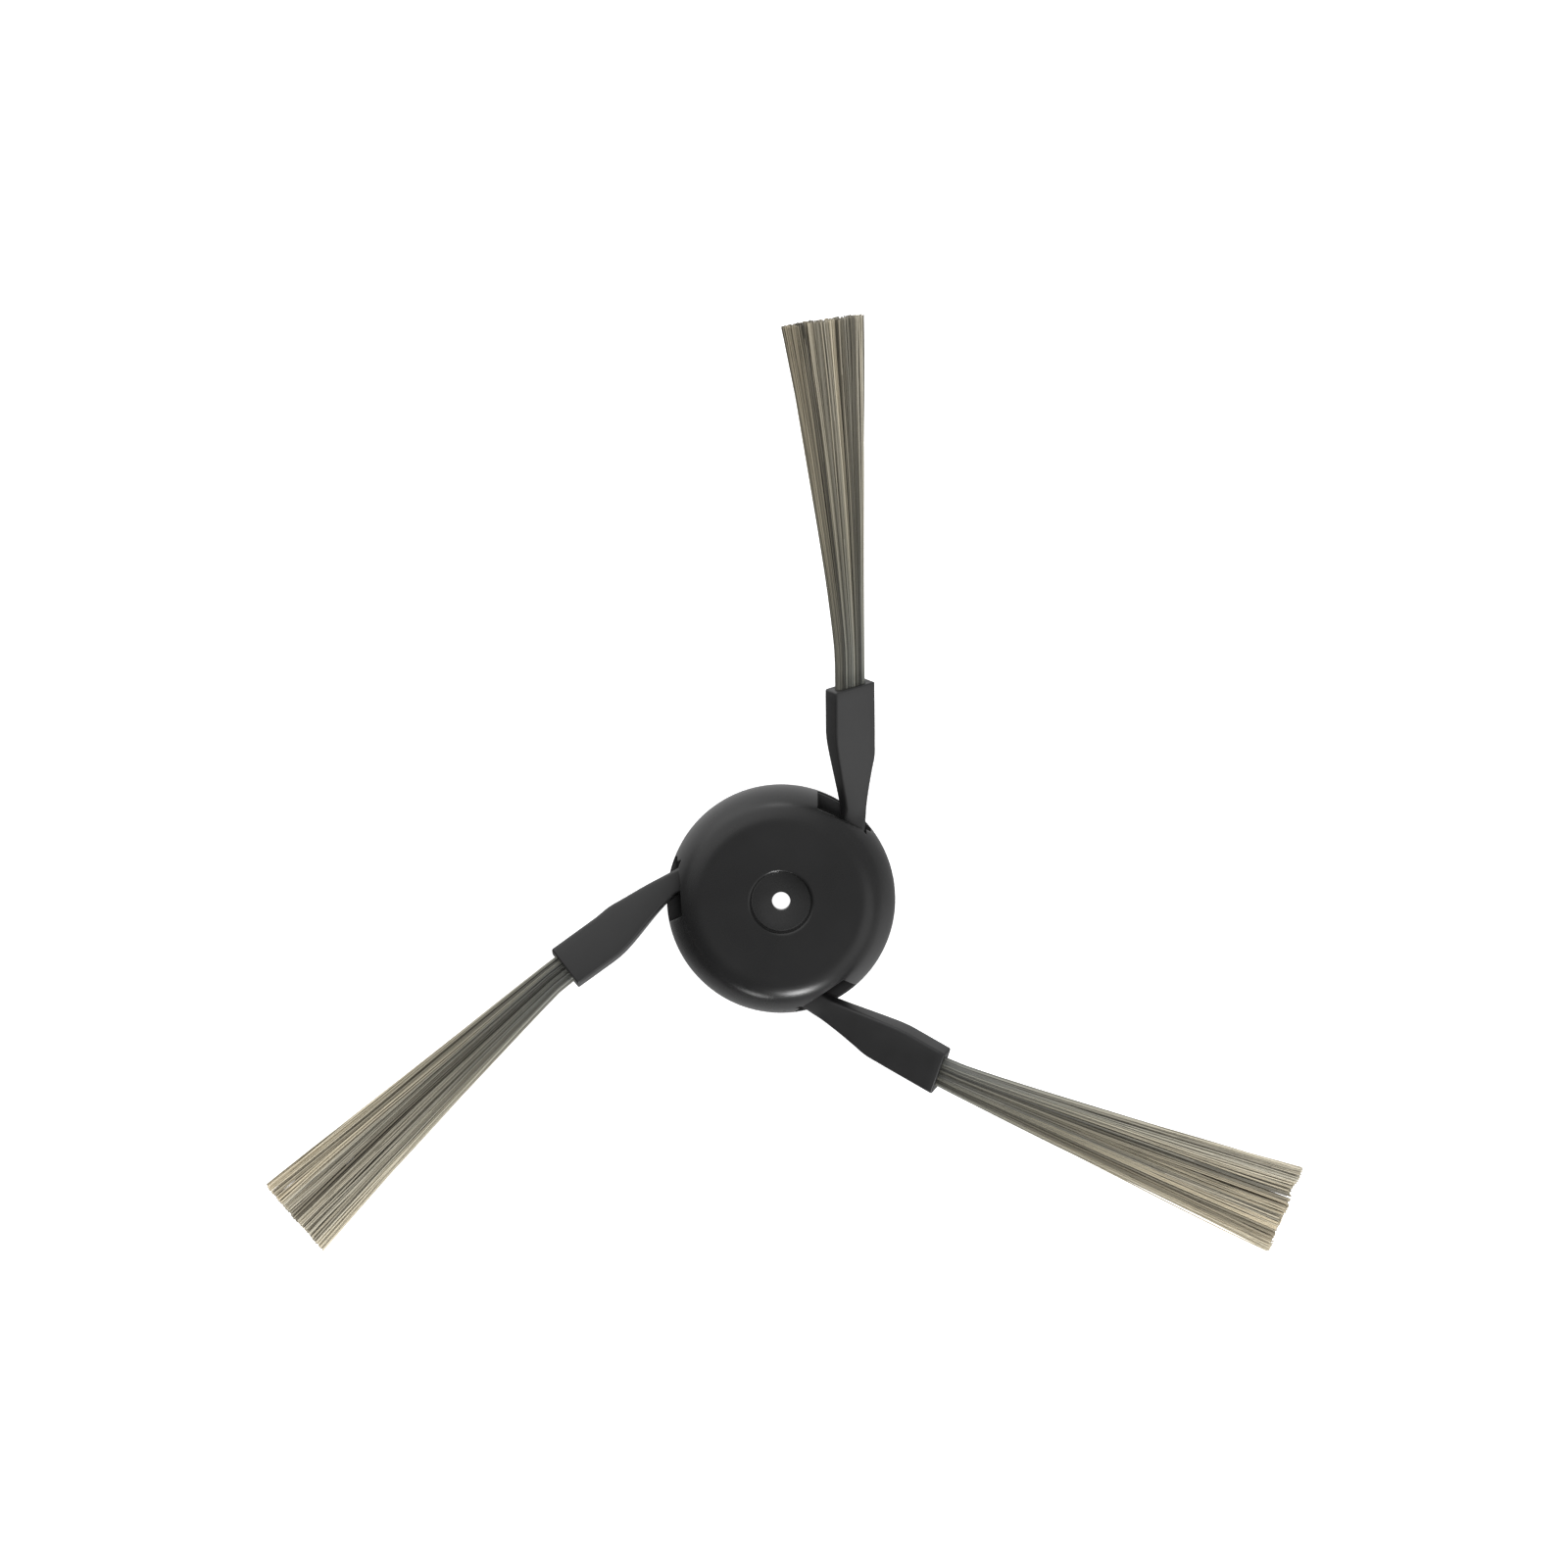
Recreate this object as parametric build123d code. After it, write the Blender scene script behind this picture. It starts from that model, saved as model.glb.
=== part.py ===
from build123d import *
import os
from math import cos, hypot, radians, sin, sqrt, tan

# Robot vacuum side brush in millimetres, its floor side up.
# The hub's axis is Z, and z = 0 is where the screw web rests on the end of the drive shaft.

# Hub cap
hub_radius = 17.5
hub_height = 11.0
shoulder_inset = 3.0
rim_band = 2.6
bevel_width = 2.1
bevel_drop = 0.65
roof_thickness = 1.6
cap_wall = 3.5
rim_wall = 1.1

# Screw seat and drive socket
screw_hole_diameter = 2.8
screw_web = 3.0
recess_diameter = 9.3
recess_draft = 0.3
recess_lip = 0.35
boss_wall = 1.3
socket_depth = 4.6
socket_width = 7.0
socket_corner = 1.0

# Hub base
base_thickness = 2.0
pin_hole_floor = 0.6
fit_gap = 0.1
size_tolerance = 1e-4

# Arm windows, each one leaving room behind its arm and passing it under a visor
arm_count = 3
arm_inset = 6.9
window_sill = 0.4
window_trail_gap = 3.275
window_lead_gap = 1.425
tunnel_lead_gap = 0.675
tunnel_room = 0.5
visor_angle = 65.0
visor_reach = 0.75

# Rubber arms
arm_rise = 2.3
neck_width = 3.45
neck_thickness = 2.6
neck_length = 12.25
neck_root = 2.5
neck_stations = (0.12, 0.7, 1.0)
lead_flare = 0.7
lead_ease = 1.4
trail_flare = 0.97
sleeve_width = 6.8
sleeve_thickness = 3.8
sleeve_length = 7.6
arm_edge = 0.5
arm_slope = 8.0
root_roll = 0.85
flange_inset = 0.2
flange_reach = 2.0
flange_wall = 1.2
flange_foot = 0.15
flange_height = 1.1
flange_run = 2.0

# Anchor eye of each arm on its pin
eye_radius = 2.6
eye_distance = 3.2
pin_radius = 1.5
pin_end_gap = 0.4
rubber_gap = 0.05

# Bristles, fewer and thicker than the real filaments
pocket_width = 4.7
pocket_thickness = 2.1
pocket_depth = 6.8
root_recess = 0.3
bristle_length = 57.0
bundle_length = 7.0
bristle_diameter = 0.36
bristle_pitch = 0.45
bristle_sides = 4
fan_thickness = 2.6

# Set that each soft arm has taken: where it starts across its window, how far it is drawn out, the
# sleeve's sideways shift, swing, roll and slant of mouth, and the lean and width of its fan of bristles
arm_sets = (
    {
        "start": 0.45, "drawn": -0.65, "shift": 0.45, "swing": 0.6, "roll": 26.0, "slant": 9.5,
        "lean": 4.6, "fan": 13.5,
    },
    {
        "start": -0.2, "drawn": 0.15, "shift": 2.1, "swing": 5.5, "roll": 11.0, "slant": 1.5,
        "lean": 7.5, "fan": 13.2,
    },
    {
        "start": 0.2, "drawn": 0.55, "shift": 0.4, "swing": 0.6, "roll": 19.0, "slant": 8.0,
        "lean": 8.7, "fan": 15.0,
    },
)

# Levels along the hub's axis
rim_z = -socket_depth
face_z = hub_height - socket_depth
shoulder_z = face_z - bevel_drop
wall_top_z = rim_z + rim_band
roof_z = face_z - roof_thickness
ledge_z = rim_z + base_thickness
sill_z = ledge_z + window_sill
arm_z = sill_z + arm_rise
tunnel_z = arm_z + neck_thickness / 2 + tunnel_room
pin_hole_z = rim_z + pin_hole_floor

# Radii about the hub's axis
shoulder_radius = hub_radius - shoulder_inset
face_radius = shoulder_radius - bevel_width
cavity_radius = hub_radius - cap_wall
seat_radius = hub_radius - rim_wall
recess_radius = recess_diameter / 2
boss_radius = recess_radius + boss_wall

# Places of one arm that points along +Y, which the others repeat about the axis
arm_offset = hub_radius - arm_inset
exit_y = sqrt(hub_radius**2 - arm_offset**2)
window_trail_x = arm_offset - neck_width / 2 - window_trail_gap
window_lead_x = arm_offset + neck_width / 2 + window_lead_gap
tunnel_lead_x = arm_offset + neck_width / 2 + tunnel_lead_gap
visor_distance = shoulder_radius + visor_reach
arm_turns = [Rot(Z=360 / arm_count * index) for index in range(arm_count)]


def visor_y(x, outward=0.0):
    return (visor_distance + outward - x * cos(radians(visor_angle))) / sin(radians(visor_angle))


def upright_cylinder(radius, low_z, high_z, x=0.0, y=0.0):
    base = Pos(x, y, low_z)
    return base * Cylinder(radius, high_z - low_z, align=(Align.CENTER, Align.CENTER, Align.MIN))


def upright_prism(points, low_z, high_z):
    outline = Pos(0, 0, low_z) * Polygon(*points, align=None)
    return extrude(outline, high_z - low_z, dir=(0, 0, 1))


def circles_of_radius(solid, radius):
    rings = solid.edges().filter_by(GeomType.CIRCLE)
    return rings.filter_by(lambda edge: abs(edge.radius - radius) < size_tolerance)


def crown_arc():
    # An arc centred on the hub's axis, so the wall is a zone of a ball
    span = shoulder_z - wall_top_z
    middle_z = (shoulder_z + wall_top_z) / 2
    centre_z = middle_z - (hub_radius**2 - shoulder_radius**2) / (2 * span)
    ball_radius = hypot(hub_radius, wall_top_z - centre_z)
    middle_radius = sqrt(ball_radius**2 - (middle_z - centre_z) ** 2)
    return ThreePointArc(
        (shoulder_radius, shoulder_z), (middle_radius, middle_z), (hub_radius, wall_top_z)
    )


def cap_dome():
    lines = [
        Polyline((0, rim_z), (0, face_z), (face_radius, face_z), (shoulder_radius, shoulder_z)),
        crown_arc(),
        Polyline((hub_radius, wall_top_z), (hub_radius, rim_z), (0, rim_z)),
    ]
    return revolve(make_face(Plane.XZ * Curve(lines)), Axis.Z)


def cap_cavity():
    around_boss = upright_cylinder(cavity_radius, 0, roof_z) - upright_cylinder(boss_radius, 0, roof_z)
    below_web = upright_cylinder(cavity_radius, ledge_z, 0)
    return around_boss + below_web + upright_cylinder(seat_radius, rim_z, ledge_z)


def screw_recess():
    depth = face_z - screw_web
    cone = Cone(recess_radius - recess_draft, recess_radius, depth)
    return Pos(0, 0, screw_web + depth / 2) * cone


def window_cut():
    clear = 2 * hub_radius
    above = [
        (window_trail_x, visor_y(window_trail_x)),
        (window_trail_x, clear),
        (window_lead_x, clear),
        (window_lead_x, visor_y(window_lead_x)),
    ]
    tunnel = [
        (window_trail_x, eye_distance),
        (window_trail_x, clear),
        (tunnel_lead_x, clear),
        (tunnel_lead_x, eye_distance),
    ]
    return upright_prism(above, sill_z, clear) + upright_prism(tunnel, sill_z, tunnel_z)


def hub_cap():
    cap = cap_dome() - cap_cavity() - screw_recess()
    cap -= upright_cylinder(screw_hole_diameter / 2, 0, screw_web)
    cap = chamfer(circles_of_radius(cap, recess_radius), recess_lip)
    pin = upright_cylinder(pin_radius, pin_hole_z + pin_end_gap, roof_z, arm_offset, eye_distance)
    for turn in arm_turns:
        cap = cap - turn * window_cut() + turn * pin
    return cap


def hub_base():
    base = upright_cylinder(seat_radius - fit_gap, rim_z, ledge_z)
    base += upright_cylinder(boss_radius, ledge_z, 0)
    pin_hole = upright_cylinder(pin_radius + fit_gap, pin_hole_z, ledge_z, arm_offset, eye_distance)
    for turn in arm_turns:
        base -= turn * pin_hole
    socket = Pos(0, 0, rim_z) * RectangleRounded(socket_width, socket_width, socket_corner)
    return base - extrude(socket, socket_depth)


def arm_plane(arm_set, share):
    # The neck's centre line is a cubic from the window to the sleeve, and straight inside the hub
    length = neck_length + arm_set["drawn"]
    turn = tan(radians(arm_set["swing"]))
    if share < 0:
        share_shift, share_turn, heading, rise, roll = 0.0, 0.0, 0.0, 0.0, 0.0
    else:
        share_shift = (3 - 2 * share) * share**2
        share_turn = (share - 1) * share**2
        heading = arm_set["shift"] / length * 6 * share * (1 - share) + turn * (3 * share - 2) * share
        rise = tan(radians(arm_slope))
        roll = radians(arm_set["roll"]) * (root_roll + (1 - root_roll) * share)
    aside = arm_set["shift"] * share_shift + length * turn * share_turn
    along = length * share
    forward = Vector(-heading, 1, rise).normalized()
    level = Vector(1, heading, 0).normalized()
    upward = level.cross(forward)
    across = level * cos(roll) - upward * sin(roll)
    middle = Vector(arm_offset + arm_set["start"] - aside, exit_y + along, arm_z + rise * along)
    return Plane(origin=middle, x_dir=across, z_dir=forward)


def arm_section(arm_set, share):
    # The leading edge flares to the sleeve's width sooner than the trailing one
    grown = max(share, 0.0)
    flare = (sleeve_width - neck_width) / 2
    lead = neck_width / 2 + flare * min(grown / lead_flare, 1.0) ** lead_ease
    trail = neck_width / 2 + flare * min(grown / trail_flare, 1.0)
    thickness = neck_thickness + (sleeve_thickness - neck_thickness) * grown
    outline = chamfer(Rectangle(lead + trail, thickness).vertices(), arm_edge)
    return arm_plane(arm_set, share) * Pos((lead - trail) / 2, 0) * outline


def mouth_plane(arm_set):
    return arm_plane(arm_set, 1.0).offset(sleeve_length)


def root_flange():
    # Rubber that closes the window under the visor, with a ramp that falls inward on its sill
    low_z = sill_z + rubber_gap
    foot_z = low_z + flange_foot
    trail_x = window_trail_x + rubber_gap
    lead_x = tunnel_lead_x - rubber_gap
    outward = Vector(cos(radians(visor_angle)), sin(radians(visor_angle)), 0)
    along = Vector(outward.Y, -outward.X, 0)
    section = [
        (-flange_reach, low_z),
        (flange_run, low_z),
        (flange_run, low_z + flange_height),
        (0, foot_z),
        (flange_wall - flange_reach, foot_z),
        (flange_wall - flange_reach, arm_z),
        (-flange_reach, arm_z),
    ]
    ramp_plane = Plane(origin=outward * visor_distance, x_dir=outward, z_dir=along)
    ramp = extrude(ramp_plane * Polygon(*section, align=None), hub_radius, both=True)
    bounds = [(trail_x, 0), (lead_x, 0), (lead_x, hub_radius), (trail_x, hub_radius)]
    flange = ramp & upright_prism(bounds, low_z, arm_z)
    return flange & upright_cylinder(hub_radius - flange_inset, low_z, arm_z)


def rubber_arm(arm_set):
    root = arm_section(arm_set, -neck_root / (neck_length + arm_set["drawn"]))
    neck = loft([root] + [arm_section(arm_set, share) for share in neck_stations])
    mouth = mouth_plane(arm_set)
    slanted = mouth.rotated((0, -arm_set["slant"], 0))
    sleeve = extrude(arm_section(arm_set, 1.0), sleeve_length + sleeve_width * tan(radians(arm_set["slant"])))
    sleeve = split(sleeve, bisect_by=slanted, keep=Keep.BOTTOM)
    strap = extrude(root, exit_y - neck_root - eye_distance, dir=(0, -1, 0))
    eye_place = ledge_z + rubber_gap, roof_z - rubber_gap, arm_offset, eye_distance
    eye = upright_cylinder(eye_radius, *eye_place)
    bore = upright_cylinder(pin_radius + rubber_gap, *eye_place)
    opening = mouth.offset(sleeve_width) * SlotOverall(pocket_width, pocket_thickness)
    pocket = extrude(opening, -pocket_depth - sleeve_width)
    return neck + sleeve + strap + eye + root_flange() - bore - pocket


def bristle_roots():
    row_step = bristle_pitch * sqrt(3) / 2
    edge = pocket_thickness / 2 - rubber_gap - bristle_diameter / 2
    straight = (pocket_width - pocket_thickness) / 2
    rows = int(edge / row_step)
    for row in range(-rows, rows + 1):
        height = row * row_step
        reach = straight + sqrt(edge**2 - height**2)
        count = int(2 * reach / bristle_pitch)
        for place in range(count + 1):
            yield (place - count / 2) * bristle_pitch, height


def bristle_tuft(arm_set):
    mouth = mouth_plane(arm_set)
    held_width = pocket_width - 2 * rubber_gap
    held_thickness = pocket_thickness - 2 * rubber_gap
    held = mouth.offset(-root_recess) * SlotOverall(held_width, held_thickness)
    roots = extrude(held, root_recess - pocket_depth)
    section = RegularPolygon(bristle_diameter / 2, bristle_sides)
    fan_length = bristle_length - bundle_length
    lean = fan_length * tan(radians(arm_set["lean"]))
    places = list(bristle_roots())
    widen = (arm_set["fan"] - bristle_diameter) / (2 * max(across for across, height in places)) - 1
    thicken = (fan_thickness - bristle_diameter) / (2 * max(height for across, height in places)) - 1
    bristles = []
    for across, height in places:
        foot = mouth * Pos(across, height, -2 * root_recess) * section
        bristles.append(extrude(foot, bundle_length + 2 * root_recess))
        bend = mouth * Pos(across, height, bundle_length) * section
        spread = Vector(across * widen - lean, height * thicken, fan_length)
        fanned = mouth.from_local_coords(spread) - mouth.origin
        bristles.append(extrude(bend, fanned.length, dir=fanned))
    return roots.fuse(*bristles)


os.makedirs("parts", exist_ok=True)
export_step(hub_cap(), "parts/hub_cap.step")
export_step(hub_base(), "parts/hub_base.step")
for number, (turn, arm_set) in enumerate(zip(arm_turns, arm_sets), start=1):
    export_step(turn * rubber_arm(arm_set), f"parts/rubber_arm_{number}.step")
    export_step(turn * bristle_tuft(arm_set), f"parts/bristle_tuft_{number}.step")
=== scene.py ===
from math import ceil, cos, hypot, pi, radians, sin, sqrt, tan

import bmesh
import bpy
from mathutils import Matrix, Vector


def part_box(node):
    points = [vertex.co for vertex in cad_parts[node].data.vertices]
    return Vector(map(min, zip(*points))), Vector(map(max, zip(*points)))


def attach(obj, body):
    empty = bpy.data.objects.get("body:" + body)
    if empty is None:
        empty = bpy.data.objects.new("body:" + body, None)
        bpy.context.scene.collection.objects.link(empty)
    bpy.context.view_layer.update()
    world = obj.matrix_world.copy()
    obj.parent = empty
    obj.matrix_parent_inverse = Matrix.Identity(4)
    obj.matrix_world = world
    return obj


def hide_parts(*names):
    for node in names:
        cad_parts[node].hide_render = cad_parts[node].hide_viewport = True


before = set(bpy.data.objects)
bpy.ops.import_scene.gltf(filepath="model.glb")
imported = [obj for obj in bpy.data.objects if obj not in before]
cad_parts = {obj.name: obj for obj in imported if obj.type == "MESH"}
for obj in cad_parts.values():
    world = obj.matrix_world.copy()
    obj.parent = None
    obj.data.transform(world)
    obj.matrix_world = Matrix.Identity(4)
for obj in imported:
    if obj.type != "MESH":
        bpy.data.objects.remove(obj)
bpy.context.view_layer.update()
mm = 0.001  # every size below is in millimetres
print("frame:", len(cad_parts), "nodes")


# shared bits

mergeGap = 0.0005  # points closer than this are one point
sliverSize = 0.002  # edges shorter than this are left over from a cut


def feed(tree, node, inputs):
    for key, value in inputs.items():
        if isinstance(value, bpy.types.NodeSocket):
            tree.links.new(value, node.inputs[key])
        else:
            node.inputs[key].default_value = value


def addNode(tree, kind, inputs=None, **settings):
    node = tree.nodes.new(kind)
    for key, value in settings.items():
        setattr(node, key, value)
    feed(tree, node, inputs or {})
    return node


def ranged(tree, value, low, high, atLow, atHigh, **settings):
    inputs = {0: value, 1: low, 2: high, 3: atLow, 4: atHigh}
    return addNode(tree, "ShaderNodeMapRange", inputs, **settings).outputs[0]


def mixed(tree, share, first, second, **settings):
    inputs = {0: share, 6: first, 7: second}
    return addNode(tree, "ShaderNodeMix", inputs, data_type="RGBA", **settings).outputs[2]


def noise(tree, place, scale, detail):
    inputs = {"Vector": place, "Scale": scale, "Detail": detail}
    return addNode(tree, "ShaderNodeTexNoise", inputs).outputs[0]


def lengthOf(tree, vector):
    return addNode(tree, "ShaderNodeVectorMath", {0: vector}, operation="LENGTH").outputs["Value"]


def newMaterial(name):
    material = bpy.data.materials.new(name)
    material.use_nodes = True
    tree = material.node_tree
    return material, tree, tree.nodes["Principled BSDF"]


def meshPiece(name, points, faces, material):
    mesh = bpy.data.meshes.new(name)
    mesh.from_pydata([tuple(c * mm for c in point) for point in points], [], faces)
    mesh.materials.append(material)
    piece = bpy.data.objects.new(name, mesh)
    bpy.context.collection.objects.link(piece)
    return piece


def bandFaces(rings, count, closed=False):  # quads between each ring of points and the next
    faces = []
    for ring in range(rings if closed else rings - 1):
        here, there = ring * count, (ring + 1) % rings * count
        for i in range(count):
            after = (i + 1) % count
            faces.append((here + i, here + after, there + after, there + i))
    return faces


def loftFaces(total, count):  # the same with both ends closed
    ends = [tuple(range(count)), tuple(reversed(range(total - count, total)))]
    return ends + bandFaces(total // count, count)


def shadeSmooth(piece, sharpAngle):
    piece.data.shade_smooth()
    piece.data.set_sharp_from_angle(angle=radians(sharpAngle))


def tidyMesh(piece, sharpAngle):
    shape = bmesh.new()
    shape.from_mesh(piece.data)
    bmesh.ops.remove_doubles(shape, verts=shape.verts, dist=mergeGap * mm)
    bmesh.ops.recalc_face_normals(shape, faces=shape.faces)
    shape.to_mesh(piece.data)
    shape.free()
    shadeSmooth(piece, sharpAngle)


def cleanCuts(piece, sharpAngle):
    shape = bmesh.new()
    shape.from_mesh(piece.data)
    bmesh.ops.dissolve_degenerate(shape, dist=sliverSize * mm, edges=shape.edges)
    bigFaces = [face for face in shape.faces if len(face.verts) > 4]
    bmesh.ops.triangulate(shape, faces=bigFaces)
    bmesh.ops.dissolve_degenerate(shape, dist=sliverSize * mm, edges=shape.edges)  # the new slivers too
    shape.to_mesh(piece.data)
    shape.free()
    shadeSmooth(piece, sharpAngle)


def bakedMesh(piece):
    graph = bpy.context.evaluated_depsgraph_get()
    mesh = bpy.data.meshes.new_from_object(piece.evaluated_get(graph))
    piece.modifiers.clear()
    piece.data = mesh


def combine(piece, others, operation):
    for other in others:
        step = piece.modifiers.new(other.name, "BOOLEAN")
        step.operation = operation
        step.object = other
        step.solver = "EXACT"
    bakedMesh(piece)
    for other in others:
        bpy.data.objects.remove(other)


def standFor(piece, node):
    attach(piece, "root")
    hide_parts(node)


# finishes

cloudSpan = (0.3, 0.7)  # the noise values that count
plastic = {
    # the recess floor's colour is painted light, lighter than the face to offset the shade in the recess
    "faceColour": (0.009, 0.009, 0.0092, 1), "recessPaintedLight": (0.03, 0.03, 0.0303, 1),
    "recessInside": 4.4, "recessEdge": 4.6, "recessLow": 3.1, "recessHigh": 3.4,
    "cloudScale": 90, "cloudDetail": 4, "cloudTint": (0.85, 1.2), "rough": (0.25, 0.32), "ior": 1.38,
    "grainScale": 2600, "grainDetail": 2, "grainStrength": 0.06, "grainDepth": 0.02,
    "edgeRadius": 0.3, "edgeSamples": 6,
}
rubber = {
    "colours": ((0.007, 0.007, 0.0072, 1), (0.011, 0.011, 0.0112, 1)),
    "cloudScale": 160, "cloudDetail": 5, "rough": (0.36, 0.45), "ior": 1.54,
    "grainScale": 3200, "grainDetail": 3, "grainStrength": 0.12, "grainDepth": 0.03,
}
nylon = {
    # the nylon's own hue, with painted shade at the root and painted light at the tip, where light
    # shines through the thin fan
    "rootColour": (0.075, 0.077, 0.071, 1), "tipColour": (0.21, 0.19, 0.15, 1),
    "middleColour": (0.11, 0.103, 0.083, 1), "middleAt": 0.4,
    "hues": ((0.965, 1.0, 1.03, 1), (1.045, 1.0, 0.9, 1)),  # cooler, warmer
    "rough": 0.38, "ior": 1.53,
}


def hubPlastic():
    material, tree, shader = newMaterial("hubPlastic")
    place = addNode(tree, "ShaderNodeTexCoord").outputs["Object"]
    cloud = noise(tree, place, plastic["cloudScale"], plastic["cloudDetail"])
    grain = noise(tree, place, plastic["grainScale"], plastic["grainDetail"])
    flat = addNode(tree, "ShaderNodeVectorMath", {0: place, 1: (1, 1, 0)}, operation="MULTIPLY")
    radius = lengthOf(tree, flat.outputs[0])
    height = addNode(tree, "ShaderNodeSeparateXYZ", {0: place}).outputs[2]
    # painted light: a mask of the recess floor, where the colour is made lighter against its shade
    inside = ranged(tree, radius, plastic["recessInside"] * mm, plastic["recessEdge"] * mm, 1.0, 0.0)
    floor = ranged(tree, height, plastic["recessLow"] * mm, plastic["recessHigh"] * mm, inside, 0.0)
    skin = mixed(tree, floor, plastic["faceColour"], plastic["recessPaintedLight"])  # painted light: the recess floor is lighter than the face, offsetting its shade
    shade = ranged(tree, cloud, *cloudSpan, *plastic["cloudTint"])
    tint = mixed(tree, 1.0, skin, shade, blend_type="MULTIPLY")
    rough = ranged(tree, cloud, *cloudSpan, *plastic["rough"])
    edges = addNode(  # the mould leaves no edge quite sharp
        tree, "ShaderNodeBevel", {"Radius": plastic["edgeRadius"] * mm}, samples=plastic["edgeSamples"]
    )
    bump = addNode(tree, "ShaderNodeBump", {
        "Height": grain, "Strength": plastic["grainStrength"], "Distance": plastic["grainDepth"] * mm,
        "Normal": edges.outputs[0],
    }).outputs[0]
    feed(tree, shader, {"Base Color": tint, "Roughness": rough, "Normal": bump, "IOR": plastic["ior"]})
    return material


def armRubber():
    material, tree, shader = newMaterial("armRubber")
    place = addNode(tree, "ShaderNodeTexCoord").outputs["Object"]
    cloud = noise(tree, place, rubber["cloudScale"], rubber["cloudDetail"])
    grain = noise(tree, place, rubber["grainScale"], rubber["grainDetail"])
    tint = mixed(tree, cloud, *rubber["colours"])
    rough = ranged(tree, cloud, *cloudSpan, *rubber["rough"])
    bump = addNode(tree, "ShaderNodeBump", {
        "Height": grain, "Strength": rubber["grainStrength"], "Distance": rubber["grainDepth"] * mm,
    }).outputs[0]
    feed(tree, shader, {"Base Color": tint, "Roughness": rough, "Normal": bump, "IOR": rubber["ior"]})
    return material


def bristleNylon():
    material, tree, shader = newMaterial("bristleNylon")
    along, strand, warmth = [
        addNode(tree, "ShaderNodeAttribute", attribute_name=name).outputs["Fac"]
        for name in ("along", "strand", "warmth")
    ]
    # painted shade at the root and painted light at the tip, along the filament
    length = addNode(tree, "ShaderNodeValToRGB", {"Fac": along})
    stops = length.color_ramp.elements
    stops[0].color = nylon["rootColour"]
    stops[1].color = nylon["tipColour"]
    stops.new(nylon["middleAt"]).color = nylon["middleColour"]
    lit = mixed(tree, 1.0, length.outputs[0], strand, blend_type="MULTIPLY")
    hue = mixed(tree, warmth, *nylon["hues"])
    tint = mixed(tree, 1.0, lit, hue, blend_type="MULTIPLY")
    feed(tree, shader, {"Base Color": tint, "Roughness": nylon["rough"], "IOR": nylon["ior"]})
    return material


plasticFinish = hubPlastic()
rubberFinish = armRubber()
nylonFinish = bristleNylon()
print("finishes made")


# hub cap: one moulding turned about the axis, its windows cut out, its pins added

hubLow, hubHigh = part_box("hub_cap")
hubRadius, rimZ, faceZ = hubHigh.x / mm, hubLow.z / mm, hubHigh.z / mm
hub = {
    "arms": 3, "armInset": 6.9, "eyeDistance": 3.2,
    "steps": 240, "facetAngle": 6, "fewestFacets": 3, "leastTurn": 0.01, "sharpAngle": 32,
    "holeRadius": 1.4, "webTop": 3.0, "recessFloor": 4.58, "recessMouth": 4.65,
    "faceRadius": 12.4, "shoulderRadius": 14.5, "shoulderDrop": 0.65, "bandHeight": 2.6,
    "ballSteps": 14, "ballStart": 3,  # the shoulder's round takes the wall's first steps
    "seatRadius": 16.4, "seatDepth": 2.0, "cavityRadius": 14.0, "roofZ": 4.8, "bossRadius": 5.95,
    "edgeRound": 0.1, "recessRound": 0.15, "lipRound": 0.55, "faceRound": 3.6, "shoulderRound": 4.2,
    "rimRound": 0.25, "seatRound": 0.15, "ledgeRound": 0.2, "roofRound": 0.4,
    "sillZ": -2.2, "windowTrail": 5.0, "windowLead": 3.15, "visorAngle": 65.0, "visorReach": 0.75,
    "tunnelLead": 2.4, "tunnelZ": 1.9,
    "pinRadius": 1.5, "pinSides": 40, "pinEndZ": -3.6, "pinOverlap": 0.2,
}
armOffset, eyeDistance = hubRadius - hub["armInset"], hub["eyeDistance"]
armTurns = [Matrix.Rotation(2 * pi / hub["arms"] * index, 4, "Z") for index in range(hub["arms"])]


def roundedLoop(corners):
    loop = []
    befores, afters = corners[-1:] + corners[:-1], corners[1:] + corners[:1]
    for (r, z, rounding), before, after in zip(corners, befores, afters):
        here = Vector((r, z))
        back = (Vector(before[:2]) - here).normalized()
        ahead = (Vector(after[:2]) - here).normalized()
        turn = pi - back.angle(ahead)
        if rounding == 0 or turn < hub["leastTurn"]:
            loop.append(here)
            continue
        reach = rounding * tan(turn / 2)
        centre = here + (back + ahead).normalized() * rounding / cos(turn / 2)
        start = here + back * reach - centre
        count = max(hub["fewestFacets"], ceil(turn / radians(hub["facetAngle"])))
        side = 1 if start.cross(here + ahead * reach - centre) > 0 else -1
        for step in range(count + 1):
            angle = side * turn * step / count
            loop.append(centre + Vector((
                start.x * cos(angle) - start.y * sin(angle), start.x * sin(angle) + start.y * cos(angle)
            )))
    return loop


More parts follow.
